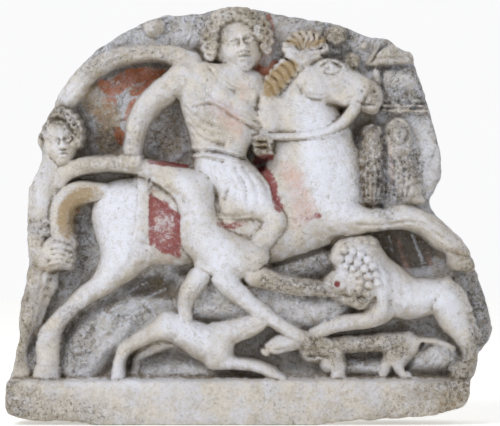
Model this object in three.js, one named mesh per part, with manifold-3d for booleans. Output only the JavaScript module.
// Marble votive tablet in high relief: a hunter in a flying cloak rides a galloping horse to the right and holds up a
// dead deer by its hind leg, which two hounds and a lion snatch at. An attendant stands behind the horse, and a small
// shrine with two veiled women closes the scene. Slab, plinth and figures are one block of stone, worn and broken.
// Millimetres, +Z up, the carved face towards -Y. The origin is on the underside, midway from back to front.
import * as THREE from "three";
import { mergeVertices } from "three/addons/utils/BufferGeometryUtils.js";
import Module from "manifold-3d";

const wasm = await Module();
wasm.setup();

// Driving dimensions
const TABLET_WIDTH = 368; // greatest width of the block, across the broken right edge
const SLAB_THICKNESS = 26; // from the flat back to the deepest field between the figures
const RELIEF_DEPTH = 40; // the hunter's head stands this far above the field
const PLINTH_HEIGHT = 33; // from the underside to the ground line that the animals run on
const PLINTH_PROJECTION = 34; // the plinth's front stands this far before the field
const LEDGE_RISE = 4; // the plinth's top slopes up by this much towards the field
const PLINTH_EDGE = 3; // worn slope along the plinth's upper front edge
const EMBED = 4; // each figure runs this far into the slab behind it

// The scene is set out on a drawing as wide as the tablet. Its ground line is the plinth's top.
const DRAWING = { width: 368, ground: 30, foot: -3, depth: 40 };
const ACROSS = TABLET_WIDTH / DRAWING.width;
const PROUD = RELIEF_DEPTH / DRAWING.depth;
const FIELD_Y = (RELIEF_DEPTH - SLAB_THICKNESS) / 2;
const BACK_Y = FIELD_Y + SLAB_THICKNESS;

const across = (x) => x * ACROSS;
const up = (z) =>
  z >= DRAWING.ground
    ? PLINTH_HEIGHT + (z - DRAWING.ground) * ACROSS
    : (PLINTH_HEIGHT * (z - DRAWING.foot)) / (DRAWING.ground - DRAWING.foot);
const proud = (d) => FIELD_Y - d * PROUD;

// The block's silhouette as [x, z], clockwise from the left end of the flat underside. Curves run between the points.
const SILHOUETTE = [
  [-112, -3], [-150, -1], [-172, 1], [-182, 7], [-184, 20], [-180, 39], [-175, 60], [-175, 80], [-170, 100],
  [-168, 121], [-169, 147], [-167, 174], [-158, 197], [-161, 211], [-151, 231], [-140, 253], [-120, 275],
  [-98, 291], [-72, 303.5], [-45, 306.5], [-12, 311], [15, 307.5], [43, 302.5], [68, 298], [85, 291], [105, 286.5],
  [115, 279], [122, 277.5], [125, 267], [134, 241], [143, 208], [146, 187], [140, 171], [137, 164], [143, 152],
  [156, 140], [168, 123], [176, 98], [184, 70], [182, 59], [175, 50], [171, 36], [166.5, 29], [164, 17], [156, 7],
  [130, 2.5], [90, 0], [48, -3],
];

// Limbs and bodies. Each is a line of stations [x, z, half-width, height of its crest above the field].
const RAISED_GROUND = {
  sky: [[-132, 252, 12, 10], [-108, 276, 12, 11], [-72, 291, 16, 11], [-30, 295, 19, 10], [20, 292, 22, 9],
    [62, 282, 22, 9], [96, 272, 22, 9]],
  right_margin: [[108, 276, 14, 9], [118, 250, 22, 9], [122, 222, 24, 9], [128, 192, 22, 9], [124, 170, 16, 8],
    [137, 152, 12, 8]],
  right_rock: [[164, 112, 12, 9], [172, 94, 11, 11], [177, 74, 11, 13], [172, 60, 10, 13]],
  left_margin: [[-158, 200, 12, 9], [-163, 165, 12, 9], [-162, 128, 12, 10], [-168, 96, 10, 8], [-170, 60, 9, 8],
    [-172, 38, 12, 13]],
};
const HORSE = {
  barrel: [[-89, 151, 29.5, 25], [-60, 149, 33, 26], [-20, 150, 32, 26], [20, 153, 35, 27], [50, 168, 37, 29]],
  croup: [[-96, 158, 22, 25], [-84, 160, 22, 25]],
  hind_leg: [[-88, 140, 27, 26], [-97, 120, 16, 25], [-110, 103, 9, 23], [-124, 93.5, 6.5, 22],
    [-137, 81, 6, 22], [-147, 69, 7, 22], [-152, 58, 9, 23], [-152, 45, 8.5, 24], [-152.5, 33, 10.5, 27]],
  neck: [[48, 188, 37, 29], [45, 212, 30, 29], [37, 232, 25, 28], [38, 248, 20, 27]],
  head: [[46, 255, 15, 30], [60, 256, 15, 32], [75, 252, 10.5, 32], [88, 244, 11, 32], [91, 240, 8.5, 31]],
  near_ear: [[28, 274, 3, 27], [36, 272, 5, 30], [44, 268, 3, 31]],
  far_ear: [[45, 274, 4, 28], [51, 275, 3, 27]],
  topknot: [[33, 284, 5, 19], [40, 286.5, 6.5, 22], [49, 283.5, 6, 20]],
  high_lock: [[32, 272, 3.5, 26], [24, 268, 3.5, 22]],
  middle_lock: [[29, 264, 3.5, 26], [20, 259, 3.5, 21]],
  low_lock: [[25, 256, 3.5, 26], [17, 250, 3.5, 21]],
  jaw: [[46, 247, 8, 29], [58, 243, 6, 30], [71, 241, 5, 31]],
  rein: [[14, 212, 3, 31], [32, 212.5, 3.2, 33], [47, 214, 3.2, 33], [59, 217, 3.3, 31], [69, 223, 3.5, 29],
    [76, 231, 3.5, 29], [82, 241, 4.5, 33]],
  near_foreleg: [[66, 153, 14, 30], [84, 151, 9, 29], [100, 152.5, 6.5, 28], [114, 154.5, 6.5, 28],
    [128, 150, 6.5, 28], [141, 142, 7.5, 28], [152, 133, 9, 27], [158, 127, 7, 25]],
  near_hoof: [[156, 119, 7, 26], [163, 118, 7, 25]],
  far_foreleg: [[72, 141, 6, 22], [95, 143, 4.5, 21], [115, 146, 4, 21], [130, 142, 4, 20], [143, 132, 5, 18]],
  tail: [[-112, 171, 5, 20], [-126, 171, 7.5, 22], [-138, 166, 8, 22], [-145, 155, 7.5, 21], [-145, 143, 7.5, 21],
    [-140, 132, 7, 21]],
  tail_knot: [[-146, 127, 11, 23]],
  tail_end: [[-161, 137, 5.5, 20], [-162, 126, 6, 20], [-155, 118, 6.5, 20], [-145, 115, 5.5, 20]],
};
const SADDLE_CLOTH = {
  rear_border: [[-80, 177, 4, 27], [-79, 160, 4, 28], [-82, 140, 4.5, 28]],
  upper_border: [[-74, 178, 4, 28], [-62, 168, 4, 29], [-52, 158, 3.5, 30]],
};
const DEER = {
  hind_leg: [[-143, 178, 5, 21], [-139, 185, 6, 23], [-129, 190, 6, 26], [-115, 192, 5.3, 29], [-98, 192, 5.2, 31],
    [-82, 190, 5.5, 32], [-68, 186, 7, 33], [-55, 180, 10, 34], [-42, 173, 14, 35]],
  body: [[-40, 172, 14, 35], [-39, 155, 14, 36], [-36, 140, 17, 37], [-24, 127, 17.5, 38], [-8, 122, 15.5, 37],
    [2, 123, 12, 35]],
  back_foreleg: [[-34, 113, 8, 31], [-42, 101, 7.5, 29], [-47, 93, 6.5, 28], [-49, 85, 5, 27], [-48, 77, 4.5, 26]],
  front_foreleg: [[-20, 108, 9, 33], [-12, 97, 7.5, 31], [-1, 88.5, 6.3, 30], [9, 81, 6.5, 30], [17, 75, 4.8, 29],
    [27, 68.5, 4.8, 28], [36, 62.5, 5, 27], [44, 57, 5, 24]],
  neck_and_head: [[4, 109, 8, 33], [14, 105, 7.2, 32], [28, 101.5, 6.5, 31], [42, 99, 5.8, 30], [60, 98, 5, 29]],
};
const HOUND = {
  body: [[-60, 71, 10, 26], [-46, 64, 11.5, 27], [-32, 57, 14, 28], [-24, 52, 12, 28]],
  neck_and_head: [[-26, 62, 11, 28], [-12, 66.5, 9, 28], [1, 71, 7.5, 28], [12, 75.5, 4.5, 27]],
  forelegs: [[-26, 44, 7, 26], [-12, 42.5, 4.6, 26], [2, 40.5, 4, 26], [13, 37, 3.6, 27], [24, 31, 3, 28]],
  near_hind_leg: [[-62, 70, 9.5, 26], [-74, 65, 6.5, 25], [-86, 58, 5, 25], [-94, 52.5, 4.5, 25], [-98, 44, 4, 26],
    [-99, 32, 5, 28]],
  far_hind_leg: [[-58, 58, 4, 12], [-74, 52, 3.5, 12], [-85, 45, 3.5, 12], [-87, 34, 4, 14]],
};
const SECOND_HOUND = {
  head: [[40, 60, 5.5, 24], [28, 58, 7, 25], [18, 54, 5.5, 24], [12, 51, 3.5, 22]],
  throat: [[44, 58, 4, 20], [43, 48, 3, 19], [42, 36, 3.5, 20]],
  foreleg: [[46, 59, 5, 22], [56, 54, 5, 21], [65, 48, 5, 20], [68, 40, 4, 20], [68, 31, 4.5, 24]],
  body: [[66, 55, 5.5, 17], [80, 56, 6, 17], [95, 57, 6.5, 18], [108, 58.5, 8, 19], [121, 57, 8.5, 19]],
  near_hind_leg: [[121, 55, 8, 19], [114, 47, 7, 19], [112, 40, 4.5, 19], [117, 32, 3.2, 20]],
  far_hind_leg: [[105, 50, 5, 17], [103, 42, 3.5, 16], [100, 33, 3, 17]],
  tail: [[126, 60, 2.2, 13], [140, 58, 1.8, 12], [153, 55, 1.8, 12]],
};
const LION = {
  mane: [[72, 124, 10, 26], [84, 120, 17, 29], [90, 106, 16, 29]],
  forehead: [[84, 106, 13, 30], [70, 104, 10, 31], [60, 100.5, 5.5, 30]],
  jaw: [[63, 95, 3.5, 28], [73, 91, 4.5, 28], [84, 91, 5, 27]],
  body: [[92, 108, 18, 27], [104, 98, 19, 27], [120, 91, 16, 26], [134, 92, 13.5, 26], [146, 91, 14, 27]],
  shoulder: [[99, 108, 4, 29], [99, 95, 4.5, 30], [100, 84, 5, 29]],
  foreleg: [[98, 82, 10, 27], [88, 75, 6.5, 26], [72, 73, 5.5, 26], [58, 69, 5, 25], [48, 64, 5, 24]],
  hind_leg: [[147, 90, 14, 27], [154, 76, 11.5, 27], [161, 63, 7.5, 26], [165, 53, 5.5, 26], [165, 44, 6, 27],
    [160, 35, 9, 29]],
  tail: [[150, 104, 2.5, 22], [158, 97, 2.5, 21], [163.5, 86, 2.5, 20], [167, 74, 2.5, 19], [172, 63, 3, 17]],
};
const RIDER = {
  right_flank: [[-44, 256, 11, 30], [-38, 238, 14, 31], [-33, 220, 13, 30], [-30, 205, 12.5, 29]],
  left_flank: [[-2, 250, 12, 29], [-7, 236, 14, 30], [-10, 220, 13, 30], [-14, 203, 12, 29]],
  chest: [[-23, 250, 13, 31], [-23, 236, 15, 32], [-22, 218, 14, 31]],
  shoulders: [[-45, 257, 10, 30], [-24, 257, 10, 32], [0, 251, 11, 29]],
  mantle: [[-34, 259, 3, 33], [-22, 246, 3, 35], [-10, 236, 3, 34], [6, 224, 3, 31]],
  belt: [[-40, 202, 3, 31], [-22, 202.5, 3, 33], [-5, 197, 3, 30]],
  neck: [[-10, 268, 9.5, 33], [-14, 254, 10, 31]],
  head: [[-9, 294, 19, 37], [-8, 286, 17.5, 38], [-6, 277, 12.5, 38]],
  nose: [[-6, 289, 2.5, 38], [-5, 283, 3.2, 40]],
  cloak_knot: [[-34, 262, 6, 33]],
  raised_arm: [[-48, 259, 11, 31], [-60, 250, 10, 31], [-73, 239.5, 9, 31], [-82, 227, 8, 30], [-86, 214, 6.8, 30],
    [-88, 202, 6.5, 32]],
  fist: [[-94, 194, 4.5, 34], [-85, 193.5, 5, 34]],
  cloak: [[-44, 268, 8, 28], [-58, 274, 6.5, 25], [-72, 276, 5.5, 23], [-88, 275, 5.5, 22], [-102, 271.5, 6.5, 21],
    [-114, 265.5, 7, 20], [-125, 257, 7.5, 19], [-133, 248, 9, 18], [-141, 239, 8, 16]],
  skirt: [[-26, 190, 16, 31], [-16, 180, 16, 33], [-6, 170, 14, 34]],
  hem: [[-14, 165, 8, 32], [-14, 160, 8.5, 32], [0, 160, 9, 33]],
  thigh: [[-12, 184, 15, 33], [2, 170, 13.5, 34], [12, 158, 10, 34], [19, 151, 7, 34]],
  shin: [[20, 148, 7, 33], [14, 140, 7.5, 32], [6, 131, 8, 30]],
  rein_hand: [[9, 203, 6.5, 28], [11, 213, 4, 28]],
};
const ATTENDANT = {
  head: [[-144, 215, 16, 25], [-143, 206, 14, 26]],
  torso: [[-152, 190, 8, 19], [-158, 174, 10, 22], [-161, 156, 9, 21], [-161, 143, 8, 20]],
  arm: [[-150, 192, 6, 19], [-145, 183, 5, 19]],
  near_leg: [[-160, 108, 9.5, 18], [-164, 92, 9, 18], [-168, 76, 8, 17], [-171, 60, 5.5, 16], [-173, 46, 5, 16],
    [-172, 34, 7, 20]],
  far_leg: [[-150, 104, 4, 10], [-156, 86, 3.5, 9], [-163, 64, 3, 9]],
};
const WOMEN = {
  left_head: [[92, 217, 6.5, 15], [92, 213, 6, 16]],
  left_body: [[92, 199, 9, 13], [93, 184, 9.5, 13], [94, 170, 9.5, 12]],
  right_head: [[110, 219, 7, 16], [110, 215, 6.5, 17]],
  right_body: [[112, 200, 10, 13], [113, 184, 10.5, 13], [114, 170, 10.5, 12]],
};
const HEAVENS = {
  left_bust: [[-72, 295.5, 8.3, 17]],
  upper_bust: [[65, 289, 8.5, 17]],
  rosette: [[77, 270, 6.3, 17]],
};

// Rows of curls over the heads and the lion's mane, as [x, z, half-width, crest].
const CURLS = [
  ...curlArc([-9, 290], [20, 18], [150, 25], 8, 4.6, 37),
  ...curlArc([-8, 287], [26, 23], [215, 140], 5, 4.2, 30),
  ...curlArc([-143, 212], [15, 17], [200, 50], 6, 3.6, 23),
  ...curlArc([82, 116], [19, 18], [185, 10], 6, 4.8, 29),
  ...curlArc([83, 114], [10, 10], [150, -40], 4, 4.8, 33),
];

// Curls spaced evenly along an oval arc between two angles in degrees.
function curlArc([x, z], [spanX, spanZ], [from, to], count, halfWidth, crest) {
  return Array.from({ length: count }, (_, i) => {
    const angle = THREE.MathUtils.degToRad(from + ((to - from) * i) / (count - 1));
    return [x + spanX * Math.cos(angle), z + spanZ * Math.sin(angle), halfWidth, crest];
  });
}

// A three.js geometry as a solid that can be joined and cut.
function solidOf(geometry) {
  const bare = new THREE.BufferGeometry();
  const loose = geometry.index ? geometry.toNonIndexed() : geometry;
  bare.setAttribute("position", loose.getAttribute("position"));
  const merged = mergeVertices(bare, 1e-4);
  const corners = merged.index.array;
  const triVerts = [];
  for (let i = 0; i < corners.length; i += 3) {
    const [a, b, c] = corners.slice(i, i + 3);
    if (a !== b && b !== c && c !== a) triVerts.push(a, b, c);
  }
  return new wasm.Manifold(
    new wasm.Mesh({
      numProp: 3,
      vertProperties: merged.getAttribute("position").array,
      triVerts: new Uint32Array(triVerts),
    }),
  );
}

// Where a limb's roundness starts: its front is half an oval this deep, on walls that go back to the slab.
const SLENDER = 5.6; // limbs under this half-width get fewer facets
const CAP_SHARE = 0.72;
const ROUNDNESS = 0.9;
const WALL_SHARE = 0.3;
const roundDepth = (halfWidth, crest) => Math.min(ROUNDNESS * halfWidth, (1 - WALL_SHARE) * crest);

// A limb in the round at the front and let into the slab behind, along a smooth line through its stations.
function limb(stations, ringsPerSpan = 1.4) {
  const sides = Math.max(...stations.map(([, , r]) => r)) < SLENDER ? 6 : 8;
  const start = stations[0];
  const line = stations.length > 1 ? stations : [start, [start[0] + 0.01, ...start.slice(1)]];
  const path = new THREE.CatmullRomCurve3(line.map(([x, z]) => new THREE.Vector3(x, 0, z)));
  const girth = new THREE.CatmullRomCurve3(line.map(([, , r, crest]) => new THREE.Vector3(r, crest, 0)));
  const spans = stations.length > 1 ? Math.ceil((line.length - 1) * ringsPerSpan) : 1;
  const rings = Array.from({ length: spans + 1 }, (_, i) => {
    const { x: r, y: crest } = girth.getPoint(i / spans);
    return { at: path.getPoint(i / spans), along: path.getTangent(i / spans), r, crest, share: 1 };
  });
  const beyond = (ring, reach, share) => ({
    ...ring,
    at: ring.at.clone().addScaledVector(ring.along, reach * ring.r),
    share,
  });
  const [first, last] = [rings[0], rings.at(-1)];
  const capReach = Math.sqrt(1 - CAP_SHARE ** 2);
  const all = [beyond(first, -1, 0), beyond(first, -capReach, CAP_SHARE), ...rings];
  all.push(beyond(last, capReach, CAP_SHARE), beyond(last, 1, 0));

  const geometry = new THREE.LatheGeometry(
    all.map(({ share }, k) => new THREE.Vector2(share, k)),
    sides,
  );
  const place = geometry.getAttribute("position");
  const backSpread = 1.04 / Math.sin(Math.PI / 4);
  for (let i = 0; i < place.count; i++) {
    const { at, along, r, crest } = all[Math.round(place.getY(i))];
    const front = place.getZ(i);
    const behind = front < -0.01;
    const sideways = place.getX(i) * r * (behind ? backSpread : 1);
    const depth = roundDepth(r, crest);
    const height = behind ? -EMBED : crest - depth + front * depth;
    place.setXYZ(
      i,
      across(at.x + along.z * sideways),
      behind ? FIELD_Y + EMBED : proud(height),
      up(at.z - along.x * sideways),
    );
  }
  return solidOf(geometry);
}

// A flat-sided block with the given [x, z] corners, from inside the slab to its crest.
function block(corners, crest) {
  const shape = new THREE.Shape(corners.map(([x, z]) => new THREE.Vector2(across(x), up(z))));
  const geometry = new THREE.ExtrudeGeometry(shape, { depth: crest * PROUD + EMBED, bevelEnabled: false });
  geometry.rotateX(Math.PI / 2);
  geometry.translate(0, FIELD_Y + EMBED, 0);
  return solidOf(geometry);
}

const join = (solids) => solids.reduce((whole, solid) => whole.add(solid));
const figure = (limbs) => join(Object.values(limbs).map((stations) => limb(stations)));

// The slab between its flat back and a given front, cut to the silhouette.
function slab(frontY) {
  const curve = new THREE.CatmullRomCurve3(
    SILHOUETTE.map(([x, z]) => new THREE.Vector3(x, z, 0)),
    false,
    "catmullrom",
    0.5,
  );
  const points = curve.getPoints(2 * (SILHOUETTE.length - 1));
  const shape = new THREE.Shape(points.map(({ x, y }) => new THREE.Vector2(across(x), up(Math.max(y, DRAWING.foot)))));
  const geometry = new THREE.ExtrudeGeometry(shape, { depth: BACK_Y - frontY, bevelEnabled: false });
  geometry.rotateX(Math.PI / 2);
  geometry.translate(0, BACK_Y, 0);
  return solidOf(geometry);
}

// The plinth: a bar with a sloping top ledge and a worn upper edge, as long as the block.
function plinth() {
  const front = PLINTH_PROJECTION;
  const shape = new THREE.Shape([
    new THREE.Vector2(-EMBED, 0),
    new THREE.Vector2(front, 0),
    new THREE.Vector2(front, PLINTH_HEIGHT - PLINTH_EDGE),
    new THREE.Vector2(front - PLINTH_EDGE, PLINTH_HEIGHT),
    new THREE.Vector2(0, PLINTH_HEIGHT + LEDGE_RISE),
    new THREE.Vector2(-EMBED, PLINTH_HEIGHT + LEDGE_RISE),
  ]);
  const geometry = new THREE.ExtrudeGeometry(shape, { depth: TABLET_WIDTH + 2 * EMBED, bevelEnabled: false });
  // The profile's x becomes -Y, its y becomes +Z, and its length runs from right to left.
  geometry.rotateX(Math.PI / 2);
  geometry.rotateZ(-Math.PI / 2);
  geometry.translate(TABLET_WIDTH / 2 + EMBED, FIELD_Y, 0);
  return solidOf(geometry);
}

// The shrine: a gabled roof, a fluted front between two posts, and a moulded lintel over the women's niche.
function shrine() {
  const roof = block([[86, 267], [92, 277], [101, 288], [112, 284], [126, 279], [126, 270], [97, 270.5]], 17);
  const gable = block([[94, 272.5], [101, 281], [118, 274.5], [118, 272.5]], 19);
  const posts = [98, 104.5, 111, 117.5, 124].map((x) => limb([[x, 268, 2, 14], [x + 1.5, 246, 2, 14]], 1));
  const bands = [241, 237, 232].map((z, i) => limb([[99, z, 1.9, 14 + i], [136, z - 0.5, 1.9, 14 + i]], 1));
  return join([roof, gable, ...posts, ...bands]);
}

function tablet() {
  const scene = join([
    figure(RAISED_GROUND),
    figure(HORSE),
    figure(SADDLE_CLOTH),
    figure(DEER),
    figure(HOUND),
    figure(SECOND_HOUND),
    figure(LION),
    figure(RIDER),
    figure(ATTENDANT),
    figure(WOMEN),
    figure(HEAVENS),
    shrine(),
    plinth(),
    ...CURLS.map((curl) => limb([curl])),
  ]);
  const carved = slab(FIELD_Y).add(scene.intersect(slab(proud(DRAWING.depth + EMBED)))).asOriginal().simplify(0.25);
  // Only the outer skin is kept, so pockets closed in behind crossing limbs are solid stone.
  return carved.decompose().reduce((outer, shell) => (shell.volume() > outer.volume() ? shell : outer));
}

// A joined solid as a named mesh in its own stone.
function mesh(name, solid, material) {
  const { vertProperties, triVerts } = solid.getMesh();
  const geometry = new THREE.BufferGeometry();
  geometry.setAttribute("position", new THREE.BufferAttribute(vertProperties, 3));
  geometry.setIndex(new THREE.BufferAttribute(triVerts, 1));
  geometry.computeVertexNormals();
  const made = new THREE.Mesh(geometry, material);
  made.name = name;
  return made;
}

const marble = new THREE.MeshStandardMaterial({ color: 0xd6d1c7, roughness: 0.55, metalness: 0 });
const part = new THREE.Group();
part.add(mesh("tablet", tablet(), marble));

export default part;
